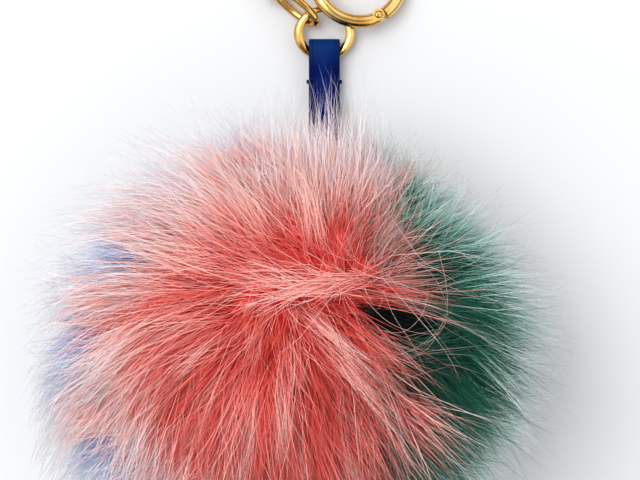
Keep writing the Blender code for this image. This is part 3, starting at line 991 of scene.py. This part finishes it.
def tressPoints():
    # Pale hairs that lie together along each of the pale streaks
    rows = []
    t = np.linspace(0, 1, 6)
    for (x, y), long, wide, degrees, change in streaks:
        for _ in range(tresses["count"] if change > 0 else 0):
            way = math.radians(degrees + chance.normal(0, tresses["spread"]))
            heading = np.array([math.cos(way), math.sin(way)])
            side = np.array([-heading[1], heading[0]])
            length = long * 2 * chance.uniform(*tresses["lengths"]) * mm
            before = heading * long * chance.uniform(*tresses["starts"]) * mm
            start = np.array([x, y]) * mm - before
            start = start + side * chance.normal(0, wide * tresses["beside"]) * mm
            curl = chance.normal(0, tresses["curl"]) * t**2
            curl = curl + chance.normal(0, tresses["wave"]) * np.sin(t * 6.3)
            flat = start + heading * length * t[:, None] + side * length * curl[:, None]
            lift = (-5 + 7 * t**0.8 + chance.normal(0, 1)) * mm
            rows.append(layOnFur(np.column_stack([flat, t * 0]), lift))
    return np.stack(rows)


def fuzzPoints():
    # Short crossing hairs where the fur's whorl stands up
    count = fuzz["count"]
    shake = chance.normal(0, 1, (count, 3)) * np.array(fuzz["shake"])
    start = (np.array(fuzz["middle"]) + shake) * mm
    way = chance.uniform(0, 2 * math.pi, count)
    heading = np.stack([np.cos(way), np.sin(way), chance.normal(*fuzz["rise"], count)], 1)
    side = np.stack([-np.sin(way), np.cos(way), np.zeros(count)], 1)
    length = chance.uniform(*fuzz["length"], count)[:, None, None]
    t = np.linspace(0, 1, 5)[None, :, None]
    curl = chance.normal(0, fuzz["curl"], (count, 1, 1))
    points = start[:, None] + heading[:, None] * length * t + side[:, None] * length * curl * t**2
    slope = chance.uniform(*fuzz["slope"], (count, 1)) * (length * t)[..., 0]
    return layOnFur(points, slope - 1 * mm)


def curvePoints(controls, count):
    # A smooth line through given points
    controls = np.array(controls, float) * mm
    places = np.linspace(0, len(controls) - 1, count)
    slopes = np.gradient(controls, axis=0)
    step = np.minimum(places.astype(int), len(controls) - 2)
    t = (places - step)[:, None]
    return (
        controls[step] * (2 * t**3 - 3 * t**2 + 1)
        + controls[step + 1] * (3 * t**2 - 2 * t**3)
        + slopes[step] * (t**3 - 2 * t**2 + t)
        + slopes[step + 1] * (t**3 - t**2)
    )


def loosePoints():
    return layOnFur(np.stack([curvePoints(hair, 12) for hair in looseHairs]), 3 * mm)


def wispPoints():
    # Centre lines of the hairs over the strap
    look = strapWisps
    count = look["count"]
    steps, low, high, left, right = strapLevels()
    middle = (left + right) / 2
    x = middle + chance.normal(0, look["spread"], count)
    y = chance.uniform(*look["root"], count)
    z = onBall(np.stack([x, y], 1), ball["hide"] + 1 * mm, (8 * mm) ** 2)
    share = chance.beta(*look["reaches"], count)
    near, far = look["reach"]
    tipY = y + near + share * (far - near)
    outward, spread = look["aside"]
    tipX = x + (x - middle) * outward + chance.normal(0, spread, count)
    tipZ = np.interp(tipY, steps, high) + chance.uniform(*look["lift"], count)
    tipZ = np.maximum(tipZ, z - look["fall"])
    root = np.stack([x, y, z], 1)[:, None]
    tip = np.stack([tipX, tipY, tipZ], 1)[:, None]
    t = np.linspace(0, 1, 5)[None, :, None]
    points = root * (1 - t) + tip * t
    arch = (4 * t * (1 - t))[..., 0]
    points[..., 2] += arch * look["arch"] * mm
    points[..., 0] += arch * chance.normal(0, look["bend"], (count, 1))
    return keepOffStrap(points, np.ones(count, bool))


def gapPoints():
    # Short underfur at the bottom of the gap; its near-black colour is painted shade
    count = gapFur["count"]
    middle, long, wide = partings[0][:3]
    place = chance.normal(0, 1, (count, 2)) * np.array([long, wide]) * gapFur["spread"] * mm
    place = place + np.array(middle) * mm
    root = np.column_stack([place, onBall(place, ball["hide"] + 1 * mm)])
    outward = unit(root - np.array(ball["middle"]))
    shake = chance.normal(0, gapFur["shake"], (count, 3))
    lean = unit(outward * 0.35 + np.array(gapFur["way"]) + shake)
    length = chance.uniform(*gapFur["length"], count)[:, None]
    tip = root + lean * length - outward * length * 0.1
    return np.stack([root, root + lean * length * 0.5, tip], 1)


def addStrands(name, points, radius, taper, bands, material, slot, colourFrom=0.0):
    widths = radius * chance.uniform(*strand["widths"], len(points))
    piece = strandMesh(name, points, widths, taper, bands, material, colourFrom)
    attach(piece, "charm")


looseFur = (
    # on the coral panel: centre lines, radius, taper, band or its least and most, and where on
    # its colours a hair starts
    ("ridge", ridgePoints, ridge["radius"], 0.4, (0.45, 0.88), 0.3),
    ("tresses", tressPoints, tresses["radius"], 0.4, (0.6, 0.88), 0.3),
    ("fuzz", fuzzPoints, fuzz["radius"], 0.4, (0.4, 0.85), 0.3),
    ("loose", loosePoints, 0.048 * mm, 0.3, 0.8, 0.55),
    ("overStrap", wispPoints, strapWisps["radius"], 0.4, "wispy", 0.35),
)


def looseBands(band, count):
    if band == "wispy":
        wispy = chance.uniform(0, 1, count) < strapWisps["wispy"]
        return np.where(wispy, bandPlaces["wispy"], bandPlaces["limits"][1])
    if isinstance(band, tuple):
        return np.round(chance.uniform(*band, count), 2)
    return np.full(count, band)


def buildPanelFur(name, shapes, furSlot):
    material = furPaint(name + "Fur", tonesOf(name))
    for kind in furKinds:
        look = traitsOf(kind)
        points, lock = growFur(shapes, kind, name)
        middles = points[:, 0] * (1 - ball["judged"]) + points[:, -1] * ball["judged"]
        bands = strandBands(kind, shapes, lock, name, middles)
        triangles = 6 * (points.shape[1] - 2) + 4
        portions = math.ceil(len(points) * triangles / ball["pieceLimit"])
        for portion in range(portions):
            pick = slice(portion, None, portions)
            shown = (points[pick], look["radius"], look["taper"], bands[pick])
            addStrands(f"{name}Fur_{kind}_{portion + 1}", *shown, material, furSlot)
    return material


def buildGapFur(furSlot):
    paint = Paint("gapUnderfur", gapFur["root"], 0.8)
    paint.set("Specular IOR Level", 0.1)
    along = paint.axis(paint.node("UVMap", {"uv_map": "OFBake"}, {}), 0)
    paint.set("Base Color", paint.ramp(along, (0.3, gapFur["root"]), (1.0, gapFur["tip"])))
    points = gapPoints()
    bands = np.full(len(points), 0.1)
    addStrands("greenFur_gap", points, gapFur["radius"], 0.6, bands, paint.material, furSlot)


def buildFur():
    lockDirections = spreadDirections(ball["locks"])
    for name, panel in panels.items():
        furSlot = name + "_fur"
        hide = buildHide(name, panel, tonesOf(name))
        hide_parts(panel["node"])
        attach(hide, "charm")
        shapes = lockShapes(lockDirections[panelMask(lockDirections, name)])
        material = buildPanelFur(name, shapes, furSlot)
        if name == "coral":
            for pieceName, build, radius, taper, band, colourFrom in looseFur:
                points = build()
                shown = (points, radius, taper, looseBands(band, len(points)))
                addStrands("coralFur_" + pieceName, *shown, material, furSlot, colourFrom)
        if name == "green":
            buildGapFur(furSlot)
    triangles = sum(len(piece.data.polygons) for piece in bpy.data.objects if "Fur_" in piece.name)
    print("fur done", triangles, "triangles")


buildFur()


metal = {
    "rings": ("small_ring", "chain_link_a", "chain_link_b", "chain_link_c", "spring_ring"),
    "gate": ("ring_gate", "hinge_pin"),
    "edge": 0.12 * mm,  # how far sharp edges are rounded
    "deepGold": (0.56, 0.285, 0.06),
    "gold": (0.76, 0.465, 0.135),
    "paleGold": (0.88, 0.61, 0.245),
    "patches": 160,  # scales of the noise
    "handled": 420,
    "scratches": (500, 4200, 900),
}

leather = {
    "edge": 0.3 * mm,
    "middle": 6.2 * mm,  # the strap's centre line, along X
    "half": 4.5 * mm,
    "navy": (0.0010, 0.0055, 0.070),
    # painted sheen: the lighter navy down the strap's middle
    "worn": (0.0016, 0.0110, 0.098),
    "rim": (0.0010, 0.0030, 0.030),
    "fold": (0.0012, 0.0250, 0.120),  # painted highlight where the leather bends over the small ring
    "folds": (79 * mm, 86 * mm),  # from here to here along Y
    "crease": 3.45 * mm,  # from the centre line
    "creased": (0.22 * mm, 0.04 * mm),
    # where the painted sheen down the middle fades in, from the centre line
    "sheenStripe": (3.8 * mm, 1.6 * mm),
    "patches": 260,  # scales of the noise
    "pebbles": 2600,
    "grain": 5200,
}

thread = {
    # each tack: turns of waxed thread round both layers of the strap, at its edge
    "turns": 3,
    "radius": 0.17 * mm,
    "plies": 0.07 * mm,  # how far the thread's plies stand out
    "bite": 0.8 * mm,  # from the strap's edge to the stitch hole
    "pitch": 2.1,  # from turn to turn, in radii
    "sunk": 0.35 * mm,  # its line, from the tack's top and bottom
    "colour": (0.002, 0.007, 0.070),
    # painted shade in the hollows between the plies
    "grooveShade": (0.002, 0.006, 0.05),
}

mending = {
    # of the CAD's facets
    "doubles": 0.00001,
    "quads": (30, 60),  # degrees
    "sharp": 40,  # degrees, from which an edge is rounded
}


def activate(piece):
    bpy.context.scene.collection.objects.link(piece)
    bpy.ops.object.select_all(action="DESELECT")
    piece.select_set(True)
    bpy.context.view_layer.objects.active = piece


def copyOfNode(pieceName, nodeName, body, edge):
    # A CAD solid with its doubles merged, its sharp edges rounded and its curves smooth
    piece = bpy.data.objects.new(pieceName, frame["nodes"][nodeName].data.copy())
    activate(piece)
    piece.data.materials.clear()
    flat, square = (math.radians(angle) for angle in mending["quads"])
    sharp = math.radians(mending["sharp"])
    bpy.ops.object.mode_set(mode="EDIT")
    bpy.ops.mesh.select_all(action="SELECT")
    bpy.ops.mesh.customdata_custom_splitnormals_clear()
    bpy.ops.mesh.remove_doubles(threshold=mending["doubles"])
    bpy.ops.mesh.tris_convert_to_quads(face_threshold=flat, shape_threshold=square)
    bpy.ops.object.mode_set(mode="OBJECT")
    rounding = piece.modifiers.new("rounding", "BEVEL")
    rounding.width = edge
    rounding.segments = 2
    rounding.limit_method = "ANGLE"
    rounding.angle_limit = sharp
    bpy.ops.object.modifier_apply(modifier=rounding.name)
    bpy.ops.object.shade_smooth_by_angle(angle=sharp)
    bpy.ops.object.select_all(action="DESELECT")
    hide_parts(nodeName)
    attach(piece, body)
    print("copied", nodeName, len(piece.data.polygons), "faces")
    return piece


def goldPaint():
    # Polished plate: warmer patches, faint scratches, and duller where it is handled
    paint = Paint("polishedGold", metal["gold"], 0.16, 1.0)
    place = paint.place()
    golds = (0.3, metal["deepGold"]), (0.5, metal["gold"]), (0.72, metal["paleGold"])
    paint.set("Base Color", paint.ramp(paint.noise(place, metal["patches"], 3), *golds))
    paint.set("Roughness", paint.noise(place, metal["handled"], 4) * 0.16 + 0.08)
    stretched = paint.node("Mapping", {}, {0: place, 3: metal["scratches"]})
    paint.set("Normal", paint.bump(0.06, 0.00004, paint.noise(stretched, 1, 2)))
    return paint.material


def leatherPaint():
    # Navy calf: fine pebbled grain, a crease beside each edge, darker painted edges, painted shade
    # in the creases, and a painted sheen down the middle and where it bends over the small ring
    paint = Paint("navyLeather", leather["navy"], 0.42)
    place = paint.place()
    across = paint.absolute(paint.axis(place, 0) - leather["middle"])
    cloud = paint.noise(place, leather["patches"], 4)
    # painted sheen: a lighter stripe down the middle of the strap, broken up by noise
    sheenStripe = paint.fade(across + cloud * 0.0022, *leather["sheenStripe"])
    colour = paint.mix(sheenStripe, (*leather["navy"], 1), (*leather["worn"], 1))
    # painted highlight near the top, where the strap bends over the small ring
    fold = paint.fade(paint.axis(place, 1), *leather["folds"])
    colour = paint.mix(fold * 0.8, colour, (*leather["fold"], 1))
    half = leather["half"]
    rim = paint.fade(across, half - 0.5 * mm, half - 0.1 * mm)
    colour = paint.mix(rim, colour, (*leather["rim"], 1))
    # painted shade: the crease beside each edge is darkened towards the edge colour, as well as
    # sunk by the bump
    crease = paint.fade(paint.absolute(across - leather["crease"]), *leather["creased"])
    colour = paint.mix(crease * 0.6, colour, (*leather["rim"], 1))
    paint.set("Base Color", colour)
    grain = {"Vector": place, "Scale": leather["pebbles"]}
    pebbles = paint.node("TexVoronoi", {"feature": "SMOOTH_F1"}, grain)
    fine = paint.noise(place, leather["grain"], 3)
    paint.set("Roughness", fine * 0.25 + 0.30)
    height = pebbles * 0.7 + fine * 0.4 - crease * 2.2
    paint.set("Normal", paint.bump(0.35, 0.00008, height))
    paint.set("Specular IOR Level", 0.03)
    return paint.material


def buildTack(pieceName, nodeName, side, material):
    # Waxed thread wound round the strap's edge, as a swept circle with a twist
    low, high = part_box(nodeName)
    middle = (low + high) / 2
    edge = leather["middle"] + side * leather["half"]
    radius = thread["radius"]
    top = high.z - thread["sunk"]
    bottom = low.z + thread["sunk"]
    out = edge + side * (radius + 0.05 * mm)
    inner = edge - side * thread["bite"]
    loop = [(inner, bottom), (inner, top), (edge - side * 0.2 * mm, top), (out, top - 0.3 * mm)]
    loop += [(out, bottom + 0.3 * mm), (edge - side * 0.2 * mm, bottom)]
    path = []
    for turn in range(thread["turns"]):
        for step, (x, z) in enumerate(loop):
            share = (turn + step / len(loop)) / thread["turns"] - 0.5
            y = middle.y + share * thread["turns"] * radius * thread["pitch"]
            path.append(Vector((x, y, z)))
    curve = bpy.data.curves.new(pieceName, "CURVE")
    curve.dimensions = "3D"
    curve.bevel_depth = radius
    curve.bevel_resolution = 2
    curve.resolution_u = 4
    curve.use_fill_caps = True
    spline = curve.splines.new("BEZIER")
    spline.bezier_points.add(len(path) - 1)
    for point, place in zip(spline.bezier_points, path):
        point.co = place
        point.handle_left_type = point.handle_right_type = "AUTO"
    activate(bpy.data.objects.new(pieceName, curve))
    bpy.ops.object.convert(target="MESH")
    piece = bpy.context.active_object
    bpy.ops.object.shade_smooth()
    bpy.ops.object.select_all(action="DESELECT")
    piece.data.materials.clear()
    piece.data.materials.append(material)
    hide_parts(nodeName)
    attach(piece, "charm")


def threadPaint():
    # Twisted plies as slanting stripes, with painted shade in the hollows between them
    paint = Paint("waxedThread", thread["colour"], 0.6)
    paint.set("Specular IOR Level", 0.05)
    slant = {0: paint.place(), 2: (0, math.radians(35), math.radians(20))}
    stripes = {"Vector": paint.node("Mapping", {}, slant), "Scale": 900, "Distortion": 0.4}
    plies = paint.node("TexWave", {"bands_direction": "X"}, stripes)
    paint.set("Base Color", paint.ramp(plies, (0.0, thread["grooveShade"]), (0.6, thread["colour"])))
    paint.set("Normal", paint.bump(0.5, thread["plies"], plies))
    return paint.material


def buildMetal():
    material = goldPaint()
    for nodeName in metal["rings"] + metal["gate"]:
        first, *others = nodeName.split("_")
        pieceName = first + "".join(word.title() for word in others)
        body = "gate" if nodeName == "ring_gate" else "charm"
        piece = copyOfNode(pieceName, nodeName, body, metal["edge"])
        piece.data.materials.append(material)
    print("metal done")


def buildStrap():
    piece = copyOfNode("leatherStrap", "strap", "charm", leather["edge"])
    piece.data.materials.append(leatherPaint())
    material = threadPaint()
    buildTack("tackLeft", "strap_tack_left", -1, material)
    buildTack("tackRight", "strap_tack_right", 1, material)
    print("strap done")


buildMetal()
buildStrap()


studio = {
    "floor": (0.645, 0.655, 0.672),
    "levels": (
        # the room's brightness by height, from the horizon up, and its blue share
        (0.0, 0.12, 0.95),
        (0.28, 0.18, 0.95),
        (0.42, 0.95, 1.0),
        (0.84, 1.0, 1.0),
        (0.93, 0.35, 1.0),
        (1.0, 0.22, 1.0),
    ),
    "strength": 1.34,
    "key": (-0.45, 0.3, 1.25),
    "keySize": 0.9,
    "keyPower": 14.4,
    "keyAim": (0, 0.02, 0),
    "camera": (4.95 * mm, 28.7 * mm, 0.8),
    "sensor": 36,  # and lens: in mm
    "lens": 153.8,
}


def buildStage():
    bpy.ops.mesh.primitive_plane_add(size=6, location=(0, 0, -0.0002))
    floor = bpy.context.active_object
    floor.name = "floor"
    floor.data.materials.append(Paint("paleFloor", studio["floor"], 0.8).material)

    world = bpy.data.worlds.new("room")
    bpy.context.scene.world = world
    world.use_nodes = True
    room = Nodes(world.node_tree)
    height = room.axis(room.node("TexCoord", {}, {}, 0), 2)
    grey = [(at, (level, level, level * blue)) for at, level, blue in studio["levels"]]
    background = world.node_tree.nodes["Background"]
    room.feed(background.inputs["Color"], room.ramp(height, *grey))
    background.inputs["Strength"].default_value = studio["strength"]

    bpy.ops.object.light_add(type="AREA", location=studio["key"])
    key = bpy.context.active_object
    key.data.size = studio["keySize"]
    key.data.energy = studio["keyPower"]
    way = Vector(studio["keyAim"]) - key.location
    key.rotation_euler = way.to_track_quat("-Z", "Y").to_euler()

    bpy.ops.object.camera_add(location=studio["camera"], rotation=(0, 0, 0))
    camera = bpy.context.active_object
    camera.data.sensor_width = studio["sensor"]
    camera.data.lens = studio["lens"]
    bpy.context.scene.camera = camera
    bpy.context.scene.view_settings.view_transform = "Standard"
    print("stage done")


buildStage()
